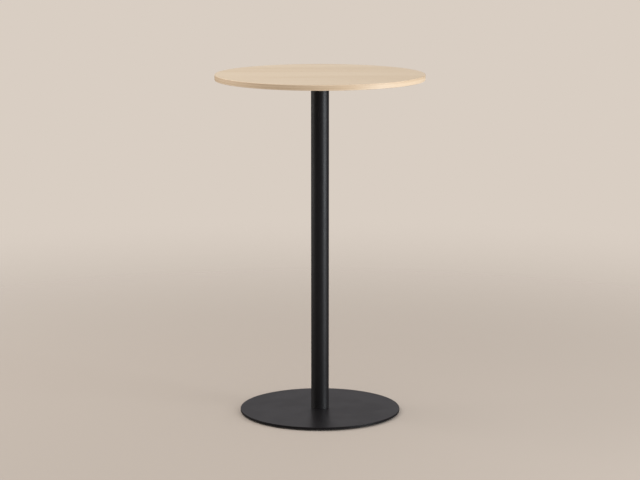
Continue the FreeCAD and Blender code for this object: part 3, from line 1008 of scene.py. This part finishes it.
PLATE_COAT = replace(FINISHES[Slot.POWDER_COAT], name="powder_coat_plate", roughness=0.34)


@cache
def material_of(finish: Finish) -> bpy.types.Material:
    """The one material of a finish."""
    return finish.material()


# ---- the table --------------------------------------------------------------------------

class Assembly(ABC):
    """A sub-assembly of the table."""

    body: str = "table"

    @abstractmethod
    def build(self) -> None:
        """Model and dress every piece."""

    def dress(self, slot: Slot, *nodes: str) -> None:
        """Give some CAD nodes their finish.

        Args:
            slot: The slot of the finish.
            nodes: Their names.
        """
        for node in nodes:
            frame["nodes"][node].material_slots[0].material = material_of(FINISHES[slot])
            LOG.info("%s: CAD solid in %s", node, slot.value)

    def finish_piece(self, model: Model, name: str, slot: Slot, node: str,
                     finish: Optional[Finish] = None) -> None:
        """Turn a model into a piece of the table, in place of a CAD node.

        Args:
            model: The model, which is used up.
            name: The piece's name.
            slot: The slot of its finish.
            node: The CAD node that it stands for.
            finish: Its own version of the slot's finish.
        """
        mesh = model.mesh(name)
        mesh.materials.append(material_of(finish or FINISHES[slot]))
        piece = put_in_scene(name, mesh)
        piece.modifiers.new("flat_faces", "WEIGHTED_NORMAL").keep_sharp = True
        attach(piece, self.body)
        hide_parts(node)
        LOG.info("%s: %d faces in %s", name, len(mesh.polygons), slot.value)


@dataclass
class Top(Assembly):
    """The round top: two laminates on a chipboard core, in an edge band.

    Attributes:
        steps: Facets round the rim.
        hole_steps: Facets round an insert's hole.
        arris: The radius of the band's long edges.
        arris_steps: Facets over each of them.
        hole_play: How much wider the insert holes are than the inserts, all round.
        glue_line: The gap between the board and the band.
    """

    steps: int = 288
    hole_steps: int = 40
    arris: float = 1.5 * MILLIMETRE
    arris_steps: int = 6
    hole_play: float = 0.05 * MILLIMETRE
    glue_line: float = 0.05 * MILLIMETRE

    def build(self) -> None:
        """Model the visible skins and dress what they cover."""
        inserts = Envelope.each("threaded_inserts")
        self.build_sheet("top_sheet", "top_laminate", Slot.TOP_LAMINATE, ())
        self.build_sheet("backing_sheet", "backing_laminate", Slot.BACKING_LAMINATE, inserts)
        self.build_band()
        self.dress(Slot.CHIPBOARD, "top_core")
        self.dress(Slot.ZINC, "threaded_inserts")

    def build_sheet(self, name: str, node: str, slot: Slot,
                    through: Sequence[Envelope]) -> None:
        """A laminate sheet with round holes through it.

        Args:
            name: The piece's name.
            node: The CAD node that it stands for.
            slot: The slot of its finish.
            through: What passes through it.
        """
        sheet = Envelope.of(node)
        model = Model()
        model.turn(sheet.wall(sheet.radius), self.steps)
        for insert in through:
            model.turn(sheet.wall(insert.radius + self.hole_play), self.hole_steps, insert.axis)
        model.fill_levels(sheet.foot, sheet.head)
        self.finish_piece(model, name, slot, node)

    def build_band(self) -> None:
        """The edge band with its rounded arrises, inside the CAD model's box."""
        reach = min(abs(level) for corner in CAD_BOX for level in corner[:2])
        band = replace(Envelope.of("edge_band"), radius=reach)
        inside = Envelope.of("top_laminate").radius + self.glue_line
        model = Model()
        model.turn(band.ring(inside, self.arris), self.steps, closed=True,
                   round_steps=self.arris_steps)
        self.finish_piece(model, "edge_strip", Slot.EDGE_BAND, "edge_band")


@dataclass(frozen=True)
class SocketScrew(ABC):
    """A screw with a hexagon socket in its head.

    Attributes:
        shank_radius: Its shank.
        socket_half_width: Half the socket across flats.
        socket_depth: The socket.
        head_land: The straight rim of the head.
        tip_chamfer: The end of the shank.
        steps: Facets round the screw.
    """

    shank_radius: float
    socket_half_width: float
    socket_depth: float
    head_land: float
    tip_chamfer: float = 1 * MILLIMETRE
    steps: int = 48

    @abstractmethod
    def head(self, place: Envelope) -> list[Corner]:
        """The profile of the head, from its flat face to the shank."""

    def model(self, node: str) -> Model:
        """All the screws of a node, heads down.

        Args:
            node: The node's name.

        Returns:
            Their model.
        """
        model = Model()
        for screw in Envelope.each(node):
            model.turn([
                *self.head(screw),
                Corner(self.shank_radius, screw.head - self.tip_chamfer),
                Corner(self.shank_radius - self.tip_chamfer, screw.head),
                Corner(0.0, screw.head),
            ], self.steps, screw.axis)
            model.sink_socket(self.socket_half_width, screw.foot, self.socket_depth,
                              screw.axis, screw.bearing)
        return model


@dataclass(frozen=True)
class ButtonScrew(SocketScrew):
    """A screw with a domed head.

    Attributes:
        head_height: The head.
        face_radius: The flat of the head round its socket.
        dome_steps: Facets over the dome.
    """

    head_height: float = 3.3 * MILLIMETRE
    face_radius: float = 2.9 * MILLIMETRE
    dome_steps: int = 6

    def head(self, place: Envelope) -> list[Corner]:
        """A quarter of an ellipse from the flat to the land, and the seat.

        Args:
            place: Where the screw lies.

        Returns:
            The profile's corners.
        """
        rise = self.head_height - self.head_land
        corners = []
        for step in range(self.dome_steps + 1):
            angle = step / self.dome_steps * QUARTER_TURN
            reach = self.face_radius + (place.radius - self.face_radius) * math.sin(angle)
            corners.append(Corner(reach, place.foot + rise * (1 - math.cos(angle))))
        seat = place.foot + self.head_height
        return [*corners, Corner(place.radius, seat), Corner(self.shank_radius, seat)]


@dataclass(frozen=True)
class CountersunkScrew(SocketScrew):
    """A screw with a cone under its head."""

    def head(self, place: Envelope) -> list[Corner]:
        """The broken edge, the land and the cone.

        Args:
            place: Where the screw lies.

        Returns:
            The profile's corners.
        """
        land_end = place.foot + self.head_land
        return [
            Corner(place.radius - self.head_land, place.foot),
            Corner(place.radius, place.foot + self.head_land / 2),
            Corner(place.radius, land_end),
            Corner(self.shank_radius, land_end + place.radius - self.shank_radius),
        ]


@dataclass
class Spider(Assembly):
    """The casting under the top, with its screws and washers.

    Attributes:
        cast_edge: How far the casting's outward edges are rounded back.
        cast_angle: The least angle of an edge that is rounded.
        screw: Its button head screws.
        steps: Facets round a washer.
        washer_bore: The washer's hole, radius.
        washer_edge: The rounding of the stamped washer.
        edge_steps: Facets over that rounding.
    """

    cast_edge: float = 0.6 * MILLIMETRE
    cast_angle: float = math.radians(35)
    screw: SocketScrew = ButtonScrew(
        shank_radius=3 * MILLIMETRE, socket_half_width=2 * MILLIMETRE,
        socket_depth=2 * MILLIMETRE, head_land=0.6 * MILLIMETRE)
    steps: int = 48
    washer_bore: float = 3.25 * MILLIMETRE
    washer_edge: float = 0.25 * MILLIMETRE
    edge_steps: int = 3

    def build(self) -> None:
        """Model the casting's soft edges, its screws and its stamped washers."""
        casting = Model.of("top_spider")
        casting.join_flat()
        casting.soften(self.cast_edge, self.cast_angle)
        self.finish_piece(casting, "spider_casting", Slot.CASTING, "top_spider")
        screws = self.screw.model("spider_screws")
        self.finish_piece(screws, "button_screws", Slot.ZINC, "spider_screws")
        washers = Model()
        for washer in Envelope.each("spider_screw_washers"):
            washers.turn(washer.ring(self.washer_bore, self.washer_edge), self.steps,
                         washer.axis, closed=True, round_steps=self.edge_steps)
        self.finish_piece(washers, "stamped_washers", Slot.ZINC, "spider_screw_washers")


@dataclass
class Column(Assembly):
    """The steel tube with the tie rod and its boss inside.

    Attributes:
        steps: Facets round the tube.
        wall: The wall of the tube.
        broken_edge: The rounding of the tube's cut ends.
        edge_steps: Facets over that rounding.
        rod_steps: Facets round the rod.
        rod_pitch: The pitch of the tie rod's thread.
        foot_thread: The threaded length at the rod's foot.
        head_thread: The threaded length at the rod's head.
        neck: How much narrower the rod's ends are than the thread's root, inside it.
    """

    steps: int = 160
    wall: float = 2 * MILLIMETRE
    broken_edge: float = 0.3 * MILLIMETRE
    edge_steps: int = 3
    rod_steps: int = 48
    rod_pitch: float = 1.5 * MILLIMETRE
    foot_thread: float = 30 * MILLIMETRE
    head_thread: float = 25 * MILLIMETRE
    neck: float = 0.1 * MILLIMETRE

    def build(self) -> None:
        """Model the tube, cut square with its burrs off, and the rod; dress what they hold."""
        tube = Envelope.of("column_tube")
        model = Model()
        model.turn(tube.ring(tube.radius - self.wall, self.broken_edge), self.steps,
                   closed=True, round_steps=self.edge_steps)
        self.finish_piece(model, "column_pipe", Slot.POWDER_COAT, "column_tube")
        self.build_rod()
        self.dress(Slot.BARE_STEEL, "column_boss")
        self.dress(Slot.ZINC, "tie_rod_washer", "tie_rod_spring_washer", "tie_rod_nut")

    def build_rod(self) -> None:
        """The tie rod: a plain bar with a thread at each end."""
        rod = Envelope.of("tie_rod")
        thread = Thread(rod.radius, self.rod_pitch)
        low = rod.foot + self.foot_thread
        high = rod.head - self.head_thread
        end = thread.root - self.neck
        model = Model()
        model.turn([
            Corner(0.0, low), Corner(end, low), Corner(rod.radius, low + self.rod_pitch / 2),
            Corner(rod.radius, high - self.rod_pitch / 2), Corner(end, high),
            Corner(0.0, high),
        ], self.rod_steps)
        model.add(thread.bar(rod.foot, low, tip=rod.foot))
        model.add(thread.bar(high, rod.head, tip=rod.head))
        self.finish_piece(model, "threaded_rod", Slot.ZINC, "tie_rod")


@dataclass
class Glide(Assembly):
    """One screw glide: a threaded stud moulded into a nylon foot.

    Attributes:
        body: The body that it moves with.
        pitch: The pitch of the stud's thread.
        flange_thickness: The flange that the nylon holds.
        stem_radius: The crest of the thread.
        thread_play: The nylon's hole past the stem, and its cavity past the flange.
        sole_round: The rounding of the sole's rim.
        brow_round: The rounding of the foot's upper edge.
        gate_radius: The moulding gate in the middle of the sole.
        gate_depth: How far the gate is sunk.
        flutes: Finger flutes round the foot.
        flute_depth: How deep each flute is.
        flute_share: The share of the rim that the flutes take.
        stud_steps: Facets round the stud's flange.
        foot_steps: Facets round the foot.
    """

    body: str
    pitch: float = 1.25 * MILLIMETRE
    flange_thickness: float = 1.5 * MILLIMETRE
    stem_radius: float = 4 * MILLIMETRE
    thread_play: float = 0.05 * MILLIMETRE
    sole_round: float = 0.8 * MILLIMETRE
    brow_round: float = 0.4 * MILLIMETRE
    gate_radius: float = 1.6 * MILLIMETRE
    gate_depth: float = 0.25 * MILLIMETRE
    flutes: int = 10
    flute_depth: float = 0.6 * MILLIMETRE
    flute_share: float = 0.34
    stud_steps: int = 48
    foot_steps: int = 180

    @property
    def stud(self) -> str:
        """The CAD node of its stud."""
        return self.body.replace("glide", "glide_stud")

    def build(self) -> None:
        """Model the steel stud, with its flange and threaded stem, and the foot."""
        stud = Envelope.of(self.stud)
        flange_top = stud.foot + self.flange_thickness
        model = Model()
        model.turn([
            Corner(0.0, stud.foot), Corner(stud.radius, stud.foot),
            Corner(stud.radius, flange_top), Corner(0.0, flange_top),
        ], self.stud_steps, stud.axis)
        thread = Thread(self.stem_radius, self.pitch)
        model.add(thread.bar(flange_top, stud.head, tip=stud.head, axis=stud.axis))
        self.finish_piece(model, self.body + "_stud", Slot.ZINC, self.stud)
        self.build_foot(stud, flange_top)

    def build_foot(self, stud: Envelope, flange_top: float) -> None:
        """The nylon foot, open above for the stem and hollow for the flange.

        Args:
            stud: Where the stud lies.
            flange_top: The upper face of its flange.
        """
        node = self.body.replace("glide", "glide_foot")
        foot = Envelope.of(node)
        hole = self.stem_radius + self.thread_play
        cavity = stud.radius + self.thread_play
        floor = stud.foot - self.thread_play
        ceiling = flange_top + self.thread_play
        gate = foot.foot + self.gate_depth
        model = Model()
        model.turn([
            Corner(0.0, gate),
            Corner(self.gate_radius - self.gate_depth, gate),
            Corner(self.gate_radius, foot.foot),
            Corner(foot.radius, foot.foot, self.sole_round),
            Corner(foot.radius, foot.head, self.brow_round),
            Corner(hole, foot.head),
            Corner(hole, ceiling),
            Corner(cavity, ceiling),
            Corner(cavity, floor),
            Corner(0.0, floor),
        ], self.foot_steps, foot.axis)
        self.press_flutes(model, foot)
        self.finish_piece(model, self.body + "_foot", Slot.NYLON, node)

    def press_flutes(self, model: Model, foot: Envelope) -> None:
        """Press the finger flutes into the foot's side.

        Args:
            model: The foot's model.
            foot: Where the foot lies.
        """
        pitch = FULL_TURN / self.flutes
        for vertex in model.work.verts:
            across = vertex.co.x - foot.x
            along = vertex.co.y - foot.y
            reach = math.hypot(across, along)
            if reach < foot.radius - self.sole_round - SAME_PLACE:
                continue
            turn = (math.atan2(along, across) - foot.bearing + pitch / 2) % pitch - pitch / 2
            share = min(abs(turn) / (pitch * self.flute_share / 2), 1.0)
            pressed = 1 - self.flute_depth * math.cos(share * QUARTER_TURN) ** 2 / reach
            vertex.co.x = foot.x + across * pressed
            vertex.co.y = foot.y + along * pressed


@dataclass
class Base(Assembly):
    """The round base plate and the screws that hold the column to it.

    Attributes:
        glides: The glides that are screwed into it.
        steps: Facets round the rim.
        hole_steps: Facets round a hole.
        rim_round: The rounding of the plate's rim.
        rim_land: The flat ring inside the rim.
        hole_play: A clearance hole past its screw, all round.
        sink_play: A countersink past its head, all round.
        hole_spare: A blind hole past the end of what it takes.
        screw: The countersunk screws from under the plate.
    """

    glides: Sequence[Glide]
    steps: int = 288
    hole_steps: int = 48
    rim_round: float = 0.8 * MILLIMETRE
    rim_land: float = 15 * MILLIMETRE
    hole_play: float = 0.5 * MILLIMETRE
    sink_play: float = 0.5 * MILLIMETRE
    hole_spare: float = 0.5 * MILLIMETRE
    screw: SocketScrew = CountersunkScrew(
        shank_radius=4 * MILLIMETRE, socket_half_width=2.5 * MILLIMETRE,
        socket_depth=3.5 * MILLIMETRE, head_land=0.3 * MILLIMETRE)

    def build(self) -> None:
        """Model the plate, drilled from below for its screws and the glides, and the screws."""
        plate = Envelope.of("base_plate")
        model = Model()
        model.turn(plate.ring(plate.radius - self.rim_land, self.rim_round), self.steps)
        bore = self.screw.shank_radius + self.hole_play
        for screw in Envelope.each("boss_screws"):
            mouth = screw.radius + self.sink_play
            model.turn([
                Corner(mouth, plate.foot),
                Corner(bore, plate.foot + mouth - bore),
                Corner(bore, plate.head),
            ], self.hole_steps, screw.axis)
        for glide in self.glides:
            stud = Envelope.of(glide.stud)
            hole = glide.stem_radius + glide.thread_play
            end = stud.head + self.hole_spare
            model.turn([Corner(hole, plate.foot), Corner(hole, end), Corner(0.0, end)],
                       self.hole_steps, stud.axis)
        model.fill_levels(plate.foot, plate.head)
        self.finish_piece(model, "base_disc", Slot.POWDER_COAT, "base_plate", PLATE_COAT)
        screws = self.screw.model("boss_screws")
        self.finish_piece(screws, "countersunk_screws", Slot.ZINC, "boss_screws")


# ---- the studio -------------------------------------------------------------------------

@dataclass(frozen=True)
class SoftBox:
    """A soft lamp.

    Attributes:
        name: Its name.
        place: Where it hangs.
        aim: What it points at.
        width: Its width.
        height: Its height.
        power: Its power in watts.
        colour: Its colour.
        spread: How wide it throws, in degrees.
    """

    name: str
    place: Point
    aim: Point
    width: float
    height: float
    power: float
    colour: Point = (1.0, 1.0, 1.0)
    spread: float = 105.0

    def hang(self) -> None:
        """Hang the lamp, out of the camera's sight."""
        data = bpy.data.lights.new(self.name, "AREA")
        data.shape = "RECTANGLE"
        data.size = self.width
        data.size_y = self.height
        data.energy = self.power
        data.color = self.colour
        data.spread = math.radians(self.spread)
        lamp = put_in_scene(self.name, data)
        lamp.location = self.place
        way = Vector(self.aim) - Vector(self.place)
        lamp.rotation_euler = way.to_track_quat("-Z", "Y").to_euler()
        lamp.visible_camera = False


@dataclass(frozen=True)
class Studio:
    """A pale floor that fades into a pale backdrop, soft lamps and the camera.

    Attributes:
        focal_length: The lens, in millimetres on a sensor 36 mm wide.
        camera_height: The camera over the floor.
        camera_distance: The camera from the column, level.
        camera_tilt: How far it looks down, in degrees.
        floor_radius: The floor.
        floor_steps: Facets round the floor.
        fade_start: Where the floor starts to fade.
        well_radius: The patch under the base plate that lets light through from below.
        floor_colour: The floor.
        floor_roughness: Its roughness.
        floor_specular: How strong its plain gloss is.
        unmirrored: The share of the floor that the table doesn't mirror.
        backdrop: The colour behind the table.
        mirrored: The colour behind the table in reflections.
        sky: The colour of the plain light from all round.
        sky_level: How strong that light is.
        sky_overhead: How much stronger it is from straight above.
        unlit_side: The share of the backdrop that is mirrored from behind the camera.
        side_turn: Where, from front to back, the mirrored backdrop brightens.
        side_rise: Where, from below to above, it does.
        lamps: The soft lamps.
    """

    focal_length: float = 124.2
    camera_height: float = 1.889
    camera_distance: float = 7.311
    camera_tilt: float = 10.07
    floor_radius: float = 4.0
    floor_steps: int = 96
    fade_start: float = 0.8
    well_radius: float = 0.262
    floor_colour: Colour = srgb(179, 168, 158)
    floor_roughness: float = 0.7
    floor_specular: float = 0.2
    unmirrored: float = 0.85
    backdrop: Colour = srgb(217, 206, 195)
    mirrored: Colour = srgb(160, 157, 159)
    sky: Colour = (1.0, 0.985, 0.965, 1.0)
    sky_level: float = 0.52
    sky_overhead: float = 0.74
    unlit_side: float = 0.12
    side_turn: Pair = (-0.6, 0.3)
    side_rise: Pair = (-0.02, 0.22)
    lamps: tuple[SoftBox, ...] = (
        SoftBox("key", place=(3.25, -1.6, 0.95), aim=(0.0, 0.0, 0.75), width=1.5, height=2.0,
                power=36.0, colour=(0.9, 0.955, 1.0)),
        SoftBox("fill", place=(-2.7, 0.5, 3.0), aim=(0.0, 0.0, 0.9), width=2.2, height=1.2,
                power=14.0, colour=(1.0, 0.98, 0.96)),
        SoftBox("side", place=(-3.1, 0.6, 0.62), aim=(0.0, 0.0, 0.7), width=2.6, height=1.0,
                power=5.0, colour=(1.0, 0.96, 0.9)),
        SoftBox("under", place=(0.0, 0.0, -0.5), aim=(0.0, 0.0, 0.0), width=2.0, height=2.0,
                power=6.0),
    )

    def build(self) -> None:
        """Set the stage, the light, the camera and the view."""
        self.lay_floor()
        self.light_world()
        for lamp in self.lamps:
            lamp.hang()
        self.place_camera()
        bpy.context.scene.view_settings.view_transform = "Standard"

    def lay_floor(self) -> None:
        """A round floor, which is clear at its rim and from below."""
        work = bmesh.new()
        bmesh.ops.create_circle(work, cap_ends=True, segments=self.floor_steps,
                                radius=self.floor_radius)
        mesh = bpy.data.meshes.new("floor")
        work.to_mesh(mesh)
        work.free()
        mesh.materials.append(self.floor_material())
        put_in_scene("floor", mesh)
        LOG.info("floor: stage")

    def floor_material(self) -> bpy.types.Material:
        """The floor's plain matt paint.

        Returns:
            Its material, which lets the backdrop through where it fades.
        """
        made = bpy.data.materials.new("floor_paint")
        wiring = Wiring.afresh(made)
        paint = wiring.add("ShaderNodeBsdfPrincipled", {
            "Base Color": self.floor_colour, "Roughness": self.floor_roughness,
            "Specular IOR Level": self.floor_specular})
        clear = wiring.add("ShaderNodeBsdfTransparent")
        reach = wiring.add("ShaderNodeVectorMath", {0: wiring.place()},
                           operation="LENGTH").outputs["Value"]
        gone = wiring.remap(reach, self.fade_start, self.floor_radius)
        rays = wiring.add("ShaderNodeLightPath").outputs
        backs = wiring.add("ShaderNodeNewGeometry").outputs["Backfacing"]
        under_plate = wiring.math("LESS_THAN", reach, self.well_radius)
        unseen = wiring.math("SUBTRACT", 1.0, rays["Is Camera Ray"])
        for ray, share in ((rays["Is Camera Ray"], backs), (unseen, under_plate),
                           (rays["Is Glossy Ray"], self.unmirrored)):
            gone = wiring.math("MAXIMUM", gone, wiring.math("MULTIPLY", ray, share))
        both = wiring.mix_shader(gone, paint.outputs[0], clear.outputs[0])
        wiring.add("ShaderNodeOutputMaterial", {"Surface": both})
        return made

    def light_world(self) -> None:
        """Plain light from above and all round, and the backdrop where it shows or is mirrored.

        The sky is brighter overhead, and what is mirrored from behind the camera is darker, as
        the unlit side of a room is.
        """
        world = bpy.data.worlds.new("studio")
        wiring = Wiring.afresh(world)

        def glow(colour: Colour, strength: Feed) -> Socket:
            """A plain light from all round."""
            feeds = {"Color": colour, "Strength": strength}
            return wiring.add("ShaderNodeBackground", feeds).outputs[0]

        _, along, up = wiring.parts(wiring.add("ShaderNodeTexCoord").outputs["Generated"])
        above = wiring.math("MAXIMUM", up, 0.0)
        level = wiring.math("MULTIPLY_ADD", above, self.sky_overhead, self.sky_level)
        facing = wiring.math("MULTIPLY", wiring.remap(along, *self.side_turn),
                             wiring.remap(up, *self.side_rise))
        behind = wiring.remap(facing, 0.0, 1.0, self.unlit_side, 1.0)
        rays = wiring.add("ShaderNodeLightPath").outputs
        looked_at = wiring.math("MAXIMUM", rays["Is Camera Ray"], rays["Is Transmission Ray"])
        lit = wiring.mix_shader(rays["Is Glossy Ray"], glow(self.sky, level),
                                glow(self.mirrored, behind))
        both = wiring.mix_shader(looked_at, lit, glow(self.backdrop, 1.0))
        wiring.add("ShaderNodeOutputWorld", {"Surface": both})
        bpy.context.scene.world = world

    def place_camera(self) -> None:
        """Stand the camera in front of the table, looking slightly down."""
        data = bpy.data.cameras.new("camera")
        data.lens = self.focal_length
        camera = put_in_scene("camera", data)
        camera.location = (0.0, -self.camera_distance, self.camera_height)
        camera.rotation_euler = (math.radians(90 - self.camera_tilt), 0.0, 0.0)
        bpy.context.scene.camera = camera


def main() -> None:
    """Build the studio and the table."""
    logging.basicConfig(level=logging.INFO, format="%(name)s %(message)s")
    Studio().build()
    glides = [Glide(joint["child"]) for joint in frame["joints"]]
    for assembly in (Top(), Spider(), Column(), Base(glides), *glides):
        assembly.build()


if __name__ == "__main__":
    main()
